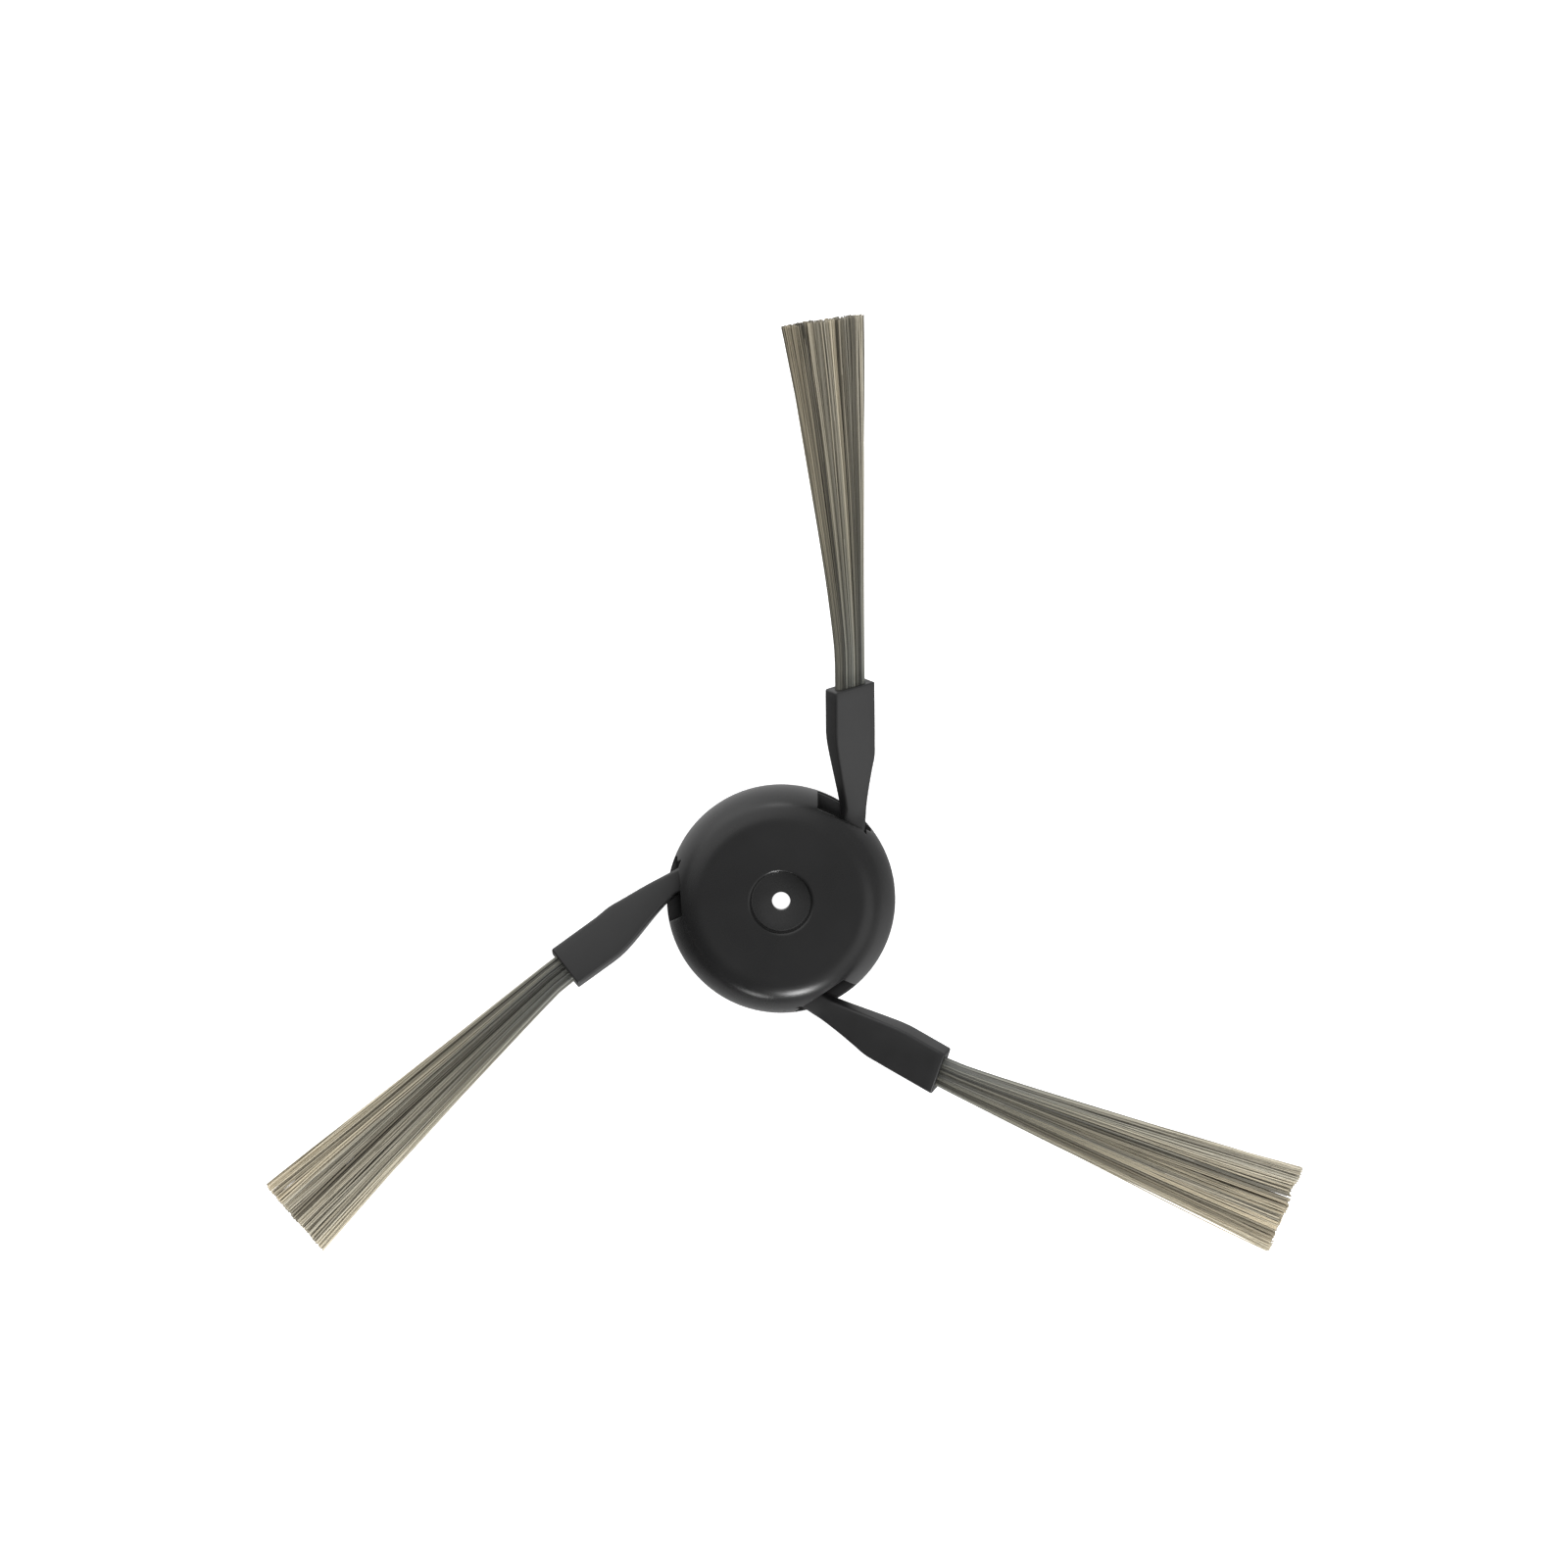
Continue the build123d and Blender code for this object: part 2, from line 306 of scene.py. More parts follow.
def hubSection():
    shoulderZ, wallTop = faceZ - hub["shoulderDrop"], rimZ + hub["bandHeight"]
    ledgeZ = rimZ + hub["seatDepth"]
    middle = (shoulderZ + wallTop) / 2
    centreZ = middle - (hubRadius**2 - hub["shoulderRadius"] ** 2) / (2 * (shoulderZ - wallTop))
    ball = hypot(hubRadius, wallTop - centreZ)  # the wall is a zone of this ball
    wall = []
    for step in range(hub["ballStart"], hub["ballSteps"] + 1):
        z = shoulderZ + (wallTop - shoulderZ) * step / hub["ballSteps"]
        wall.append((sqrt(ball**2 - (z - centreZ) ** 2), z, 0))
    return roundedLoop([  # radius, height, rounding
        (hub["holeRadius"], 0, hub["edgeRound"]),
        (hub["holeRadius"], hub["webTop"], hub["recessRound"]),
        (hub["recessFloor"], hub["webTop"], hub["recessRound"]),
        (hub["recessMouth"], faceZ, hub["lipRound"]),
        (hub["faceRadius"], faceZ, hub["faceRound"]),
        (hub["shoulderRadius"], shoulderZ, hub["shoulderRound"]),
        *wall,
        (hubRadius, rimZ, hub["rimRound"]),
        (hub["seatRadius"], rimZ, hub["seatRound"]),
        (hub["seatRadius"], ledgeZ, 0),
        (hub["cavityRadius"], ledgeZ, hub["ledgeRound"]),
        (hub["cavityRadius"], hub["roofZ"], hub["roofRound"]),
        (hub["bossRadius"], hub["roofZ"], hub["roofRound"]),
        (hub["bossRadius"], 0, hub["edgeRound"]),
    ])


def prism(name, outline, lowZ, highZ, turn):
    count = len(outline)
    points = [turn @ Vector((x, y, z)) for z in (lowZ, highZ) for x, y in outline]
    ends = [tuple(reversed(range(count))), tuple(range(count, 2 * count))]
    block = meshPiece(name, points, ends + bandFaces(2, count), plasticFinish)
    tidyMesh(block, hub["sharpAngle"])
    return block


def visorY(x, outward=0):
    normal = radians(hub["visorAngle"])
    return (hub["shoulderRadius"] + hub["visorReach"] + outward - x * cos(normal)) / sin(normal)


def windowCutters(turn):
    trail, lead = armOffset - hub["windowTrail"], armOffset + hub["windowLead"]
    tunnelLead, far = armOffset + hub["tunnelLead"], 2 * hubRadius
    above = [(trail, visorY(trail)), (lead, visorY(lead)), (lead, far), (trail, far)]
    tunnel = [(trail, eyeDistance), (tunnelLead, eyeDistance), (tunnelLead, far), (trail, far)]
    return [
        prism("windowAbove", above, hub["sillZ"], far, turn),
        prism("windowTunnel", tunnel, hub["sillZ"], hub["tunnelZ"], turn),
    ]


def eyeCircle(radius, sides):
    angles = [2 * pi * i / sides for i in range(sides)]
    return [(armOffset + radius * cos(angle), eyeDistance + radius * sin(angle)) for angle in angles]


def eyePin(turn):  # holds an arm's eye
    outline = eyeCircle(hub["pinRadius"], hub["pinSides"])
    return prism("eyePin", outline, hub["pinEndZ"], hub["roofZ"] + hub["pinOverlap"], turn)


def hubCap():
    section, steps = hubSection(), hub["steps"]
    points = []
    for step in range(steps):
        angle = 2 * pi * step / steps
        points += [(r * cos(angle), r * sin(angle), z) for r, z in section]
    cap = meshPiece("hubCap", points, bandFaces(steps, len(section), closed=True), plasticFinish)
    tidyMesh(cap, hub["sharpAngle"])
    combine(cap, [cutter for turn in armTurns for cutter in windowCutters(turn)], "DIFFERENCE")
    combine(cap, [eyePin(turn) for turn in armTurns], "UNION")
    cleanCuts(cap, hub["sharpAngle"])
    return cap


capPiece = hubCap()
standFor(capPiece, "hub_cap")
print("hub cap:", len(capPiece.data.polygons), "faces")


# hub base: the CAD plate with its edges smoothed

plate = {"sharpAngle": 30}


def hubBase():
    base = bpy.data.objects.new("hubBase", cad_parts["hub_base"].data.copy())
    bpy.context.collection.objects.link(base)
    base.data.materials.clear()
    base.data.materials.append(plasticFinish)
    tidyMesh(base, plate["sharpAngle"])
    return base


basePiece = hubBase()
standFor(basePiece, "hub_base")
print("hub base:", len(basePiece.data.polygons), "faces")


# rubber arms: a rounded strap that leaves the window, widens, rolls and ends in the sleeve

arm = {
    "gap": 0.05, "sharpAngle": 50,  # the gap is the clearance in the window
    "rise": 2.3, "neckWidth": 3.45, "neckThickness": 2.6, "neckLength": 12.25, "neckSteps": 26,
    "rootShares": (-0.45, -0.3), "fineShare": -0.2,  # rings inside the hub, as shares of the neck
    "slope": 8.0, "slopeEase": 1.2, "rootRoll": 0.85, "rollStart": -0.3, "rollRun": 0.35,
    "leadFlare": 0.7, "leadEase": 1.4, "trailFlare": 0.97, "flareSoft": 0.12, "crown": 0.12,
    "sleeveWidth": 6.8, "sleeveThickness": 3.8, "sleeveLength": 7.6, "sleeveSteps": 6,
    "edgeRound": 0.4, "roundSteps": 8, "flatSteps": 6, "lipRound": 0.25, "lipAngles": (30, 60, 90),
    "pocketWidth": 4.7, "pocketThickness": 2.1, "pocketDepth": 6.8,
    "pocketLip": ((0.4, 0.0), (0.1, 0.08), (0.0, 0.3)),  # how much wider, how deep
    "eyeRadius": 2.6, "eyeBore": 1.55, "eyeLow": -2.55, "eyeHigh": 4.75, "eyeSides": 48, "eyeBite": 0.05,
    "flangeReach": 2.0, "flangeWall": 1.2, "flangeFoot": 0.15, "flangeHeight": 0.5, "flangeRun": 2.0,
    "flangeInset": 0.2, "flangeRound": 0.25, "flangeBevel": 0.3, "flangeToe": 0.15, "flangeSteps": 24,
}
armSets = [  # the set that each soft arm has taken
    {"start": 0.45, "drawn": -0.65, "shift": 0.45, "swing": 0.6, "roll": 26.0, "slant": 9.5},
    {"start": -0.2, "drawn": 0.15, "shift": 2.1, "swing": 5.5, "roll": 11.0, "slant": 1.5},
    {"start": 0.2, "drawn": 0.55, "shift": 0.4, "swing": 0.6, "roll": 19.0, "slant": 8.0},
]
exitY = sqrt(hubRadius**2 - armOffset**2)
armZ = hub["sillZ"] + arm["rise"]


def armFrame(armSet, share):
    length = arm["neckLength"] + armSet["drawn"]
    turn = tan(radians(armSet["swing"]))
    rise = tan(radians(arm["slope"]))
    along = length * share
    bend = max(share, 0)
    aside = armSet["shift"] * (3 - 2 * bend) * bend**2 + length * turn * (bend - 1) * bend**2
    heading = armSet["shift"] / length * 6 * bend * (1 - bend) + turn * (3 * bend - 2) * bend
    run = sqrt(along**2 + arm["slopeEase"] ** 2)  # eases into the slope at the window
    climb = (run + along) / 2
    slope = rise * (along / run + 1) / 2
    twist = min(max((share - arm["rollStart"]) / arm["rollRun"], 0), 1)  # flat inside the hub
    twist = twist * twist * (3 - 2 * twist)
    roll = radians(armSet["roll"]) * twist * (arm["rootRoll"] + (1 - arm["rootRoll"]) * bend)
    forward = Vector((-heading, 1, slope)).normalized()
    level = Vector((1, heading, 0)).normalized()
    upward = level.cross(forward)
    across = level * cos(roll) - upward * sin(roll)
    down = forward.cross(across)
    middle = Vector((armOffset + armSet["start"] - aside, exitY + along, armZ + rise * climb))
    return Matrix.Translation(middle) @ Matrix((across, down, forward)).transposed().to_4x4()


def mouthFrame(armSet):
    return armFrame(armSet, 1.0) @ Matrix.Translation((0, 0, arm["sleeveLength"]))


def roundedRing(width, thickness, rounding, crown=0.0):
    ring = []
    roundSteps, flatSteps = arm["roundSteps"], arm["flatSteps"]
    for cornerX, cornerY, start in ((1, 1, 0), (-1, 1, 1), (-1, -1, 2), (1, -1, 3)):
        centreX = cornerX * (width / 2 - rounding)
        centreY = cornerY * (thickness / 2 - rounding)
        for step in range(roundSteps + 1):
            angle = pi / 2 * (start + step / roundSteps)
            ring.append((centreX + rounding * cos(angle), centreY + rounding * sin(angle)))
        if cornerX == cornerY:  # along the two broad faces
            for step in range(1, flatSteps):
                ring.append((centreX * (1 - 2 * step / flatSteps), cornerY * thickness / 2))
    return [(x, y * (1 + 2 * crown / thickness * (1 - (2 * x / width) ** 2))) for x, y in ring]


def eased(share):  # a straight ramp with a soft end
    soft = arm["flareSoft"]
    if share >= 1 + soft:
        return 1.0
    return share - max(share - (1 - soft), 0) ** 2 / (4 * soft)


def armRings(armSet):
    rings = []
    straight = arm["neckLength"] + armSet["drawn"]
    halfNeck, flare = arm["neckWidth"] / 2, (arm["sleeveWidth"] - arm["neckWidth"]) / 2
    first = (eyeDistance + arm["eyeBore"] + arm["eyeBite"] - exitY) / straight  # in the eye's wall
    fine, steps = arm["fineShare"], arm["neckSteps"]
    shares = [first, *arm["rootShares"]]
    shares += [fine + (1 - fine) * step / steps for step in range(steps + 1)]
    for share in shares:
        grown = max(share, 0)
        lead = halfNeck + flare * eased(grown / arm["leadFlare"]) ** arm["leadEase"]  # flares sooner
        trail = halfNeck + flare * eased(grown / arm["trailFlare"])
        thickness = arm["neckThickness"] + (arm["sleeveThickness"] - arm["neckThickness"]) * grown
        outline = roundedRing(lead + trail, thickness, arm["edgeRound"], arm["crown"])
        place = armFrame(armSet, share)
        rings.append([place @ Vector((x + (lead - trail) / 2, y, 0)) for x, y in outline])
    mouth, slant = mouthFrame(armSet), tan(radians(armSet["slant"]))

    def sleeveRing(width, thickness, rounding, depth, crown=0.0):
        outline = roundedRing(width, thickness, rounding, crown)
        rings.append([mouth @ Vector((x, y, x * slant - depth)) for x, y in outline])

    wide, thick, lip = arm["sleeveWidth"], arm["sleeveThickness"], arm["lipRound"]
    for step in range(1, arm["sleeveSteps"] + 1):
        depth = arm["sleeveLength"] * (1 - step / arm["sleeveSteps"]) + lip
        sleeveRing(wide, thick, arm["edgeRound"], depth, arm["crown"])
    for angle in arm["lipAngles"]:  # the lip round the mouth
        inset = lip * (1 - cos(radians(angle)))
        depth = lip * (1 - sin(radians(angle)))
        sleeveRing(wide - 2 * inset, thick - 2 * inset, arm["edgeRound"] - inset, depth, arm["crown"])
    pocketWide, pocketThick = arm["pocketWidth"], arm["pocketThickness"]
    for grow, depth in (*arm["pocketLip"], (0.0, arm["pocketDepth"])):
        sleeveRing(pocketWide + grow, pocketThick + grow, pocketThick / 2 + grow / 2, depth)
    return rings


def anchorEye(turn):
    sides, outer, inner = arm["eyeSides"], arm["eyeRadius"], arm["eyeBore"]
    low, high = arm["eyeLow"], arm["eyeHigh"]
    rings = [(outer, low), (outer, high), (inner, high), (inner, low)]
    points = [turn @ Vector((x, y, z)) for radius, z in rings for x, y in eyeCircle(radius, sides)]
    eye = meshPiece("anchorEye", points, bandFaces(len(rings), sides, closed=True), rubberFinish)
    tidyMesh(eye, arm["sharpAngle"])
    return eye


def rootFlange(turn):
    normal, lowZ = radians(hub["visorAngle"]), hub["sillZ"] + arm["gap"]
    footZ = lowZ + arm["flangeFoot"]
    backU, wallU = -arm["flangeReach"], arm["flangeWall"] - arm["flangeReach"]
    trailX = armOffset - hub["windowTrail"] + arm["gap"]
    leadX = armOffset + hub["tunnelLead"] - arm["gap"]
    climb = (arm["flangeHeight"] - arm["flangeFoot"]) / arm["flangeRun"]
    soft, toe = arm["flangeRound"], arm["flangeToe"]
    bevel = arm["flangeBevel"] * soft
    points = []
    for step in range(arm["flangeSteps"] + 1):
        x = trailX + (leadX - trailX) * step / arm["flangeSteps"]
        outerY = sqrt((hubRadius - arm["flangeInset"]) ** 2 - x**2)
        edgeU = x * cos(normal) + outerY * sin(normal) - hub["shoulderRadius"] - hub["visorReach"]
        topZ = footZ + climb * edgeU
        section = [  # distance outward from the visor's edge, height
            (backU, lowZ), (edgeU, lowZ),
            (edgeU, topZ - soft), (edgeU - bevel, topZ - bevel), (edgeU - soft, topZ - climb * soft),
            (toe, footZ + toe * climb), (0, footZ),
            (wallU, footZ), (wallU, armZ), (backU, armZ),
        ]
        points += [turn @ Vector((x, visorY(x, u), z)) for u, z in section]
    flange = meshPiece("rootFlange", points, loftFaces(len(points), len(section)), rubberFinish)
    tidyMesh(flange, arm["sharpAngle"])
    return flange


def rubberArm(number, armSet, turn):
    rings = armRings(armSet)
    points = [turn @ point for ring in rings for point in ring]
    piece = meshPiece(f"rubberArm{number}", points, loftFaces(len(points), len(rings[0])), rubberFinish)
    tidyMesh(piece, arm["sharpAngle"])
    combine(piece, [anchorEye(turn), rootFlange(turn)], "UNION")
    cleanCuts(piece, arm["sharpAngle"])
    return piece


for number, (armSet, turn) in enumerate(zip(armSets, armTurns), start=1):
    piece = rubberArm(number, armSet, turn)
    standFor(piece, f"rubber_arm_{number}")
    print(piece.name, len(piece.data.polygons), "faces")


# bristles: geometry nodes grow each filament from its root in the sleeve to its cut tip

tuft = {
    "filaments": 480, "radius": 0.1, "sides": 4, "steps": 21, "sharpAngle": 70,
    "rootWidth": 4.5, "rootThickness": 1.9, "fanThickness": 2.6, "rootDepth": 3.0,
    "clumps": 11.0, "pull": 0.34, "wander": 0.2, "edgeLight": 0.6, "seedStep": 10,
}
fans = [  # how each tuft has spread, and its root and tip tones, which paint shade at the root and light at the thin tips
    {
        "length": 56.95, "lean": 4.5, "fanWidth": 13.5, "bundle": 0.08, "curl": 1.2,
        "cut": 3.0, "ragged": 0.003, "contrast": 1.3,
        "rootTone": 1.0, "tipTone": 0.77, "fade": 0.8, "warmSide": -0.25,
    },
    {
        "length": 56.0, "lean": 7.1, "fanWidth": 13.0, "bundle": 0.03, "curl": 1.07,
        "cut": 4.3, "ragged": 0.003, "contrast": 1.0,
        "rootTone": 0.75, "tipTone": 1.85, "fade": 1.15, "warmSide": 0.0,
    },
    {
        "length": 56.5, "lean": 8.75, "fanWidth": 14.7, "bundle": 0.01, "curl": 1.09,
        "cut": 5.7, "ragged": 0.008, "contrast": 1.05,
        "rootTone": 0.5, "tipTone": 1.55, "fade": 0.38, "warmSide": 0.3,
    },
]
chances = {  # what makes each filament and each clump its own
    "clumpBlur": 0.45, "clumpPlace": (0.2, 0.8), "pullShare": (0.4, 1.0),
    "ownShade": 0.5, "clumpShade": 0.5, "shadePower": 1.6, "shadeSpan": 2.2, "shadeLow": 0.7,
    "shadeMiddle": 1.1, "darkest": 0.3, "brightest": 2.6, "ownWarmth": 0.4, "clumpWarmth": 0.6,
    "ownCut": (-0.3, 0.3), "clumpCut": (-1.0, 0.4), "waves": 7.0, "phase": (0.0, 6.28),
    "thinPower": 4.0, "thinning": 0.75, "edgePower": 5.0,
}
bristleInputs = {
    "Int": ("Filaments", "Sides", "Steps", "Seed"),
    "Float": (
        "Radius", "Root Width", "Root Thickness", "Fan Width", "Fan Thickness", "Length", "Root Depth",
        "Bundle", "Curl", "Lean", "Clumps", "Pull", "Wander", "Ragged", "Cut", "Edge Light", "Contrast",
        "Root Tone", "Tip Tone", "Fade", "Warm Side",
    ),
    "Material": ("Finish",),
}


def bristleTree():
    tree = bpy.data.node_groups.new("bristleTuft", "GeometryNodeTree")
    sockets = {}
    for kind, names in bristleInputs.items():
        for name in names:
            socketType = "NodeSocket" + kind
            socket = tree.interface.new_socket(name=name, in_out="INPUT", socket_type=socketType)
            sockets[name] = socket.identifier
    tree.interface.new_socket(name="Geometry", in_out="OUTPUT", socket_type="NodeSocketGeometry")
    given = tree.nodes.new("NodeGroupInput").outputs

    def sums(operation, first, second=0.0):
        return addNode(tree, "ShaderNodeMath", {0: first, 1: second}, operation=operation).outputs[0]

    def plus(first, second):
        return sums("ADD", first, second)

    def minus(first, second):
        return sums("SUBTRACT", first, second)

    def times(first, second):
        return sums("MULTIPLY", first, second)

    def weighed(first, firstShare, second, secondShare):
        return plus(times(first, firstShare), times(second, secondShare))

    def between(start, end, share):
        return plus(start, times(minus(end, start), share))

    def chance(span, offset, key=None):
        low, high = span
        inputs = {2: low, 3: high, 8: plus(given["Seed"], offset)}
        if key is not None:
            inputs[7] = key
        return addNode(tree, "FunctionNodeRandomValue", inputs, data_type="FLOAT").outputs[1]

    def geometry(kind, inputs):
        return addNode(tree, "GeometryNode" + kind, inputs).outputs[0]

    def stored(shape, name, value):
        inputs = {"Geometry": shape, "Name": name, "Value": value}
        node = addNode(
            tree, "GeometryNodeStoreNamedAttribute", inputs, data_type="FLOAT", domain="POINT"
        )
        return node.outputs[0]

    def recalled(name):
        node = addNode(tree, "GeometryNodeInputNamedAttribute", {"Name": name}, data_type="FLOAT")
        return node.outputs[0]

    # one point for each filament, with its place across the tuft and its clump
    unit, blur = (0.0, 1.0), chances["clumpBlur"]
    index = addNode(tree, "GeometryNodeInputIndex").outputs[0]
    place = sums("DIVIDE", plus(index, 0.5), given["Filaments"])  # 0 to 1 across the tuft
    across = minus(times(place, 2.0), 1.0)
    fromMiddle = sums("ABSOLUTE", across)
    thinned = times(sums("POWER", fromMiddle, chances["thinPower"]), chances["thinning"])
    depth = times(chance((-1.0, 1.0), 1), sums("SQRT", minus(1.0, thinned)))
    clump = sums("FLOOR", plus(times(place, given["Clumps"]), chance((-blur, blur), 2)))
    clumpPlace = sums("DIVIDE", plus(clump, chance(chances["clumpPlace"], 3, clump)), given["Clumps"])
    clumpAcross = minus(times(clumpPlace, 2.0), 1.0)
    pull = times(given["Pull"], chance(chances["pullShare"], 4))
    pulled = weighed(across, minus(1.0, pull), clumpAcross, pull)
    tip = sums("MINIMUM", sums("MAXIMUM", pulled, -1.0), 1.0)

    # tone, cut, wave and warmth of each filament
    ownShade, clumpShade = chance(unit, 5), chance(unit, 6, clump)
    shade = weighed(ownShade, chances["ownShade"], clumpShade, chances["clumpShade"])
    shade = times(sums("POWER", shade, chances["shadePower"]), chances["shadeSpan"])
    shade = times(minus(shade, chances["shadeLow"]), given["Contrast"])
    shade = sums("MAXIMUM", plus(shade, chances["shadeMiddle"]), chances["darkest"])
    edge = times(sums("POWER", fromMiddle, chances["edgePower"]), given["Edge Light"])  # painted light: the thin edges of the fan are lighter, for light shining through them
    ragged = plus(chance(chances["ownCut"], 7), chance(chances["clumpCut"], 8, clump))
    phase = chance(chances["phase"], 9)
    ownWarmth, clumpWarmth = chance(unit, 10), chance(unit, 11, clump)
    warmth = weighed(ownWarmth, chances["ownWarmth"], clumpWarmth, chances["clumpWarmth"])
    points = geometry("Points", {"Count": given["Filaments"]})
    for name, value in (
        ("across", across), ("depth", depth), ("tip", tip),
        ("warmth", plus(warmth, times(across, given["Warm Side"]))),  # one side has yellowed more
        ("strand", times(shade, plus(1.0, edge))),
        ("reach", plus(1.0, weighed(ragged, given["Ragged"], tip, given["Cut"]))),
        ("phase", phase),
    ):
        points = stored(points, name, value)

    # a line on each point, bent from the root to the tip
    line = geometry("CurvePrimitiveLine", {"End": (0, 0, 1)})
    line = geometry("ResampleCurve", {"Curve": line, "Count": given["Steps"]})
    strands = geometry("InstanceOnPoints", {"Points": points, "Instance": line})
    strands = geometry("RealizeInstances", {"Geometry": strands})
    share = addNode(tree, "GeometryNodeSplineParameter").outputs["Factor"]
    strands = stored(strands, "along", share)
    # painted shade and light: each tuft's root and tip tones scale the darker root and the lighter tip
    # along the filament
    tone = between(given["Root Tone"], given["Tip Tone"], sums("POWER", share, given["Fade"]))
    tone = sums("MINIMUM", times(recalled("strand"), tone), chances["brightest"])
    strands = stored(strands, "strand", tone)
    total = plus(given["Length"], given["Root Depth"])
    outward = minus(times(times(share, total), recalled("reach")), given["Root Depth"])
    free = sums("DIVIDE", outward, given["Length"])
    opened = sums("DIVIDE", minus(free, given["Bundle"]), minus(1.0, given["Bundle"]))
    opened = sums("POWER", sums("MAXIMUM", opened, 0.0), given["Curl"])
    rootX = times(recalled("across"), times(given["Root Width"], 0.5))
    tipX = minus(times(recalled("tip"), times(given["Fan Width"], 0.5)), given["Lean"])
    wave = sums("SINE", plus(times(share, chances["waves"]), recalled("phase")))
    wave = times(wave, times(given["Wander"], opened))
    x = plus(between(rootX, tipX, opened), wave)
    thickness = between(given["Root Thickness"], given["Fan Thickness"], opened)
    y = times(times(recalled("depth"), thickness), 0.5)
    spot = addNode(tree, "ShaderNodeCombineXYZ", {0: x, 1: y, 2: outward}).outputs[0]
    strands = geometry("SetPosition", {"Geometry": strands, "Position": spot})

    # a thin skin round each line
    ring = geometry("CurvePrimitiveCircle", {"Resolution": given["Sides"], "Radius": given["Radius"]})
    skin = geometry("CurveToMesh", {"Curve": strands, "Profile Curve": ring, "Fill Caps": True})
    skin = geometry("RealizeInstances", {"Geometry": skin})
    skin = geometry("SetMaterial", {"Geometry": skin, "Material": given["Finish"]})
    tree.links.new(skin, tree.nodes.new("NodeGroupOutput").inputs[0])
    return tree, sockets


def bristleTuft(number, armSet, fan, turn, tree, sockets):
    piece = meshPiece(f"bristleTuft{number}", [(0, 0, 0)], [], nylonFinish)
    grow = piece.modifiers.new("bristles", "NODES")
    grow.node_group = tree
    values = {**tuft, **fan, "seed": tuft["seedStep"] * number, "finish": nylonFinish}
    values["lean"] = fan["length"] * (1 - fan["bundle"]) * tan(radians(fan["lean"]))
    values["cut"] = fan["fanWidth"] / 2 * tan(radians(fan["cut"])) / fan["length"]  # the tips' slant
    for name, identifier in sockets.items():
        grow[identifier] = values[name[0].lower() + name[1:].replace(" ", "")]
    bakedMesh(piece)
    piece.data.transform(Matrix.Scale(mm, 4) @ turn @ mouthFrame(armSet))
    shadeSmooth(piece, tuft["sharpAngle"])
    return piece


growTree, growSockets = bristleTree()
for number, (armSet, fan, turn) in enumerate(zip(armSets, fans, armTurns), start=1):
    piece = bristleTuft(number, armSet, fan, turn, growTree, growSockets)
    standFor(piece, f"bristle_tuft_{number}")
    print(piece.name, len(piece.data.polygons), "faces")


# stage: pale floor, soft panels, the photo's straight-down view

white = (1, 1, 1, 1)
stage = {
    "floorSize": 3000, "floorGap": 0.05, "floorColour": (0.86, 0.86, 0.86, 1), "floorRough": 0.9,
    "floorGlow": 0.65, "spotRadius": 9, "spotCore": 0.8, "spotGlow": 1.0,
    "skyTurn": 45, "skyDark": 0.13, "skyBright": 0.52, "skyFade": (-0.9, -0.1),
    "skyLow": 0.62, "lowFade": (-0.4, 0.2),
    "cameraTilt": 3.4, "cameraDistance": 2400, "frameWidth": 240, "aimX": 0.44, "aimY": 17.78,
    "sensorWidth": 36, "clipEnd": 20000,
}
panels = [  # compass direction, height angle, distance, size, watts; fills leave no edge in the gloss
    {
        "name": "keyPanel", "turn": -79, "height": 19, "distance": 700,
        "wide": 130, "tall": 200, "power": 3.8, "inGloss": True,
    },
    {
        "name": "upperLeftFill", "turn": 125, "height": 42, "distance": 800,
        "wide": 600, "tall": 400, "power": 2.6, "inGloss": False,
    },
    {
        "name": "rightFill", "turn": 5, "height": 38, "distance": 800,
        "wide": 600, "tall": 450, "power": 2.6, "inGloss": False,
    },
]
glows = [  # brighter patches of the studio: direction, where each fades out and in, strength
    {"turn": 122, "height": 19, "outer": 0.5, "inner": 0.95, "bright": 1.15},  # broad, on the upper left
    {"turn": 108, "height": -40, "outer": 0.5, "inner": 0.97, "bright": 0.45},
    {"turn": -22, "height": 39, "outer": 0.85, "inner": 0.985, "bright": 0.9},  # on the rolled top arm
    {"turn": -35, "height": -20, "outer": 0.75, "inner": 0.97, "bright": 0.3},
    {"turn": -88, "height": -46, "outer": 0.7, "inner": 0.97, "bright": 0.22},  # along the lower wall
    {"turn": 92, "height": -4, "outer": 0.985, "inner": 0.997, "bright": 2.5},  # two small glints
    {"turn": -104, "height": -2, "outer": 0.985, "inner": 0.997, "bright": 8.0},
]


def directionTo(light):
    turn, height = radians(light["turn"]), radians(light["height"])
    return Vector((cos(turn) * cos(height), sin(turn) * cos(height), sin(height)))


def paleFloor():
    half, z = stage["floorSize"] / 2, rimZ - stage["floorGap"]
    material, tree, shader = newMaterial("paleFloor")
    spread = lengthOf(tree, addNode(tree, "ShaderNodeTexCoord").outputs["Object"])
    edge = stage["spotRadius"] * mm  # full white under the screw hole
    core = stage["spotCore"] * stage["spotRadius"] * mm
    glow = ranged(tree, spread, core, edge, stage["spotGlow"], stage["floorGlow"])
    feed(tree, shader, {
        "Base Color": stage["floorColour"], "Roughness": stage["floorRough"],
        "Emission Color": white, "Emission Strength": glow,
    })
    corners = [(-half, -half, z), (half, -half, z), (half, half, z), (-half, half, z)]
    floor = meshPiece("floor", corners, [(0, 1, 2, 3)], material)
    floor.visible_glossy = False  # the hub's wall mirrors the studio, not the white floor


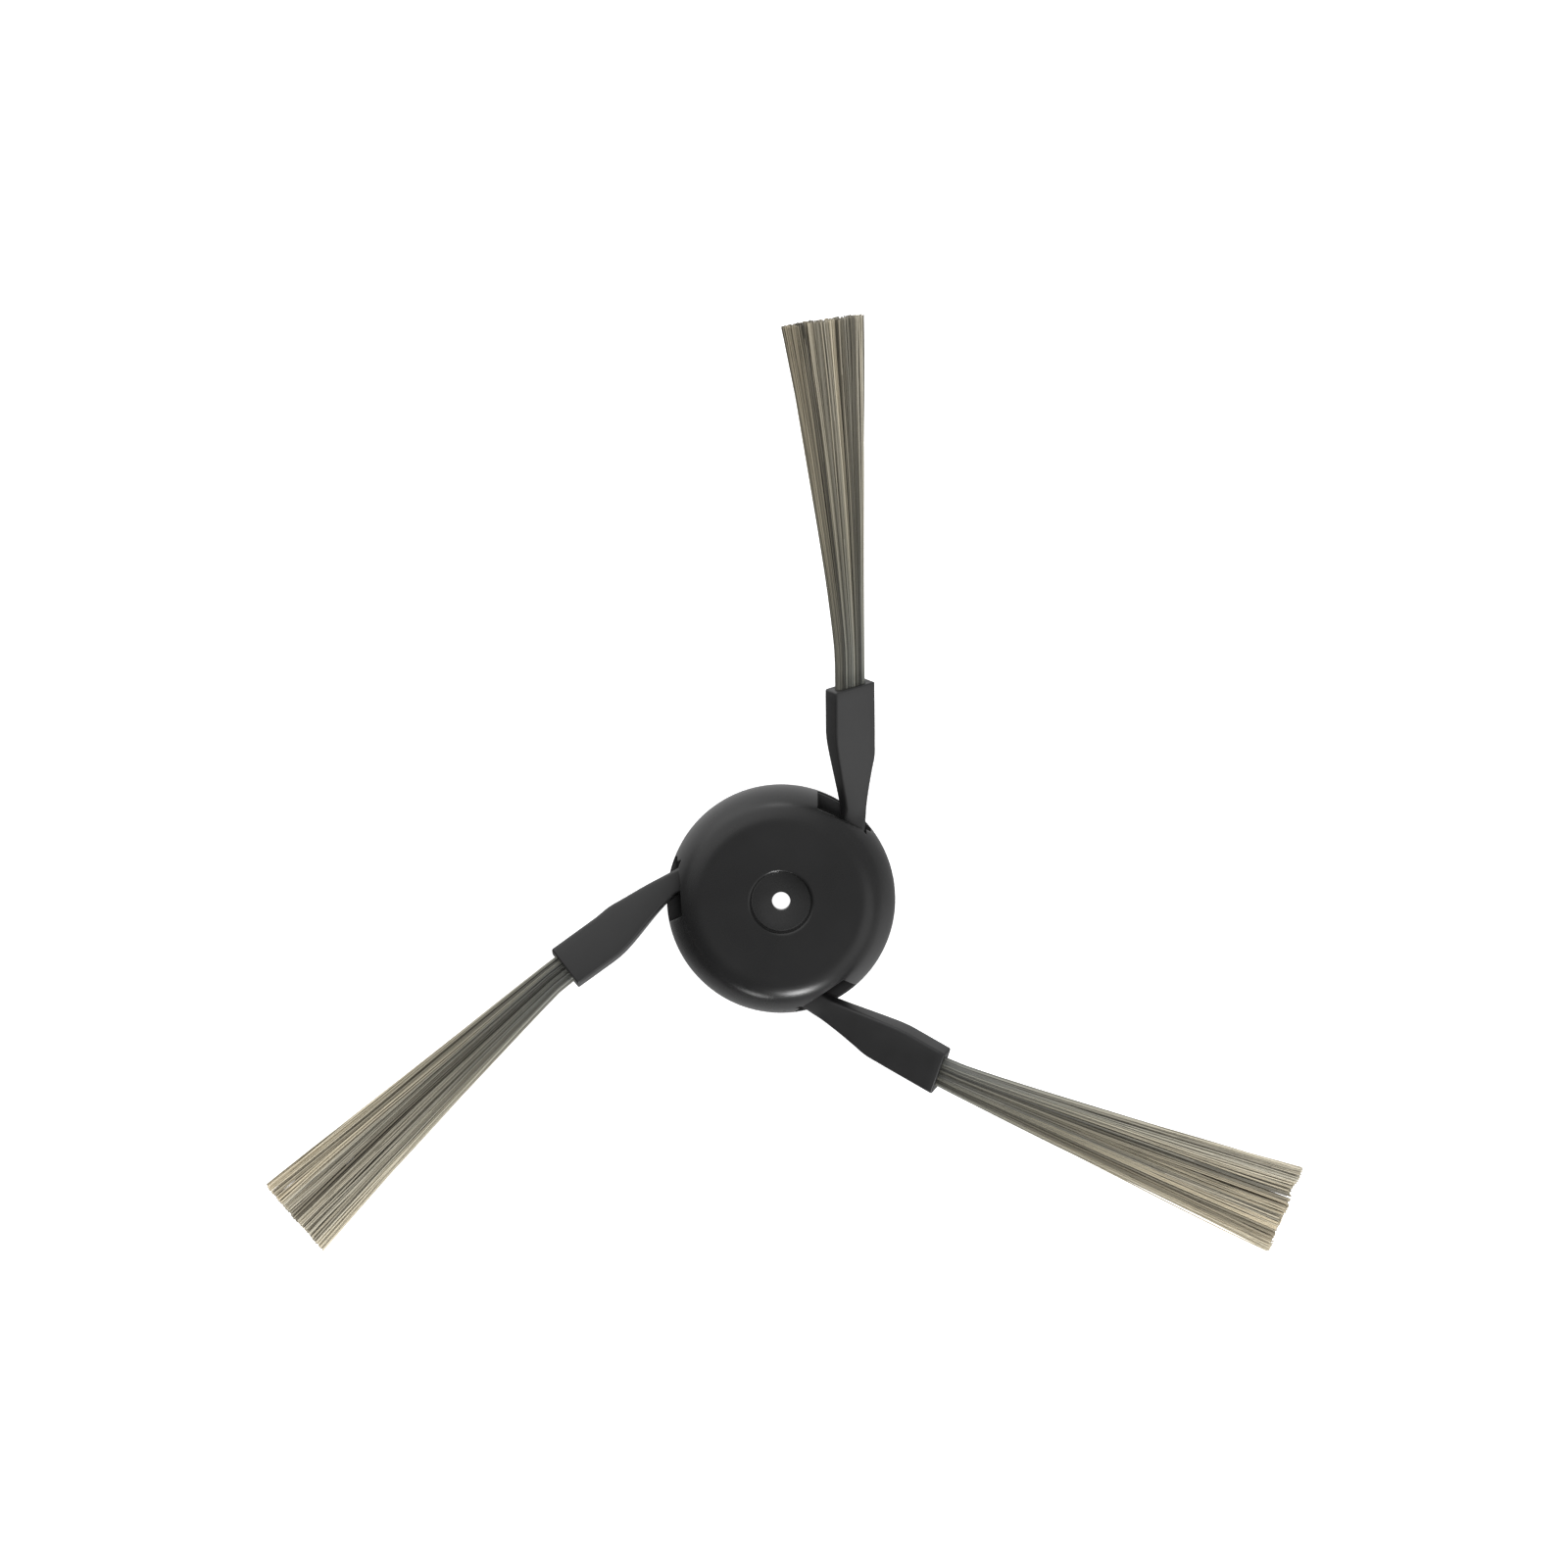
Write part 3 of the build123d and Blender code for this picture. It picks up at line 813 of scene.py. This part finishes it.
def softPanel(panel):
    light = bpy.data.lights.new(panel["name"], "AREA")
    light.shape = "RECTANGLE"
    light.size, light.size_y = panel["wide"] * mm, panel["tall"] * mm
    light.energy = panel["power"]
    lamp = bpy.data.objects.new(panel["name"], light)
    bpy.context.collection.objects.link(lamp)
    toward = directionTo(panel)
    lamp.location = toward * panel["distance"] * mm
    lamp.rotation_euler = toward.to_track_quat("Z", "Y").to_euler()
    lamp.visible_glossy = panel["inGloss"]


def studioSky():
    world = bpy.data.worlds.new("studio")
    world.use_nodes = True
    tree = world.node_tree
    toward = addNode(tree, "ShaderNodeTexCoord").outputs["Generated"]

    def facing(direction):
        node = addNode(tree, "ShaderNodeVectorMath", {0: toward, 1: direction}, operation="DOT_PRODUCT")
        return node.outputs["Value"]

    def softly(value, low, high, atLow, atHigh):
        return ranged(tree, value, low, high, atLow, atHigh, interpolation_type="SMOOTHSTEP")

    skyTurn = radians(stage["skyTurn"])
    side = facing((cos(skyTurn), sin(skyTurn), 0))
    fade = softly(side, *stage["skyFade"], stage["skyDark"], stage["skyBright"])  # one side stays dark
    height = addNode(tree, "ShaderNodeSeparateXYZ", {0: toward}).outputs[2]
    low = softly(height, *stage["lowFade"], stage["skyLow"], 1.0)  # and it is dimmer near the floor
    total = addNode(tree, "ShaderNodeMath", {0: fade, 1: low}, operation="MULTIPLY").outputs[0]
    for glow in glows:
        patch = softly(facing(directionTo(glow)), glow["outer"], glow["inner"], 0.0, glow["bright"])
        total = addNode(tree, "ShaderNodeMath", {0: total, 1: patch}, operation="ADD").outputs[0]
    feed(tree, tree.nodes["Background"], {"Color": white, "Strength": total})
    bpy.context.scene.world = world
    bpy.context.scene.view_settings.view_transform = "Standard"


def photoView():
    view = bpy.data.cameras.new("photoView")
    view.sensor_width = stage["sensorWidth"]
    view.lens = view.sensor_width * stage["cameraDistance"] / stage["frameWidth"]
    view.clip_end = stage["clipEnd"] * mm
    camera = bpy.data.objects.new("photoView", view)
    bpy.context.collection.objects.link(camera)
    tilt = radians(stage["cameraTilt"])
    aim = Vector((stage["aimX"], stage["aimY"], 0))
    camera.location = (aim + Vector((0, sin(tilt), cos(tilt))) * stage["cameraDistance"]) * mm
    camera.rotation_euler = (-tilt, 0, 0)
    bpy.context.scene.camera = camera


paleFloor()
for panel in panels:
    softPanel(panel)
studioSky()
photoView()
print("stage set")
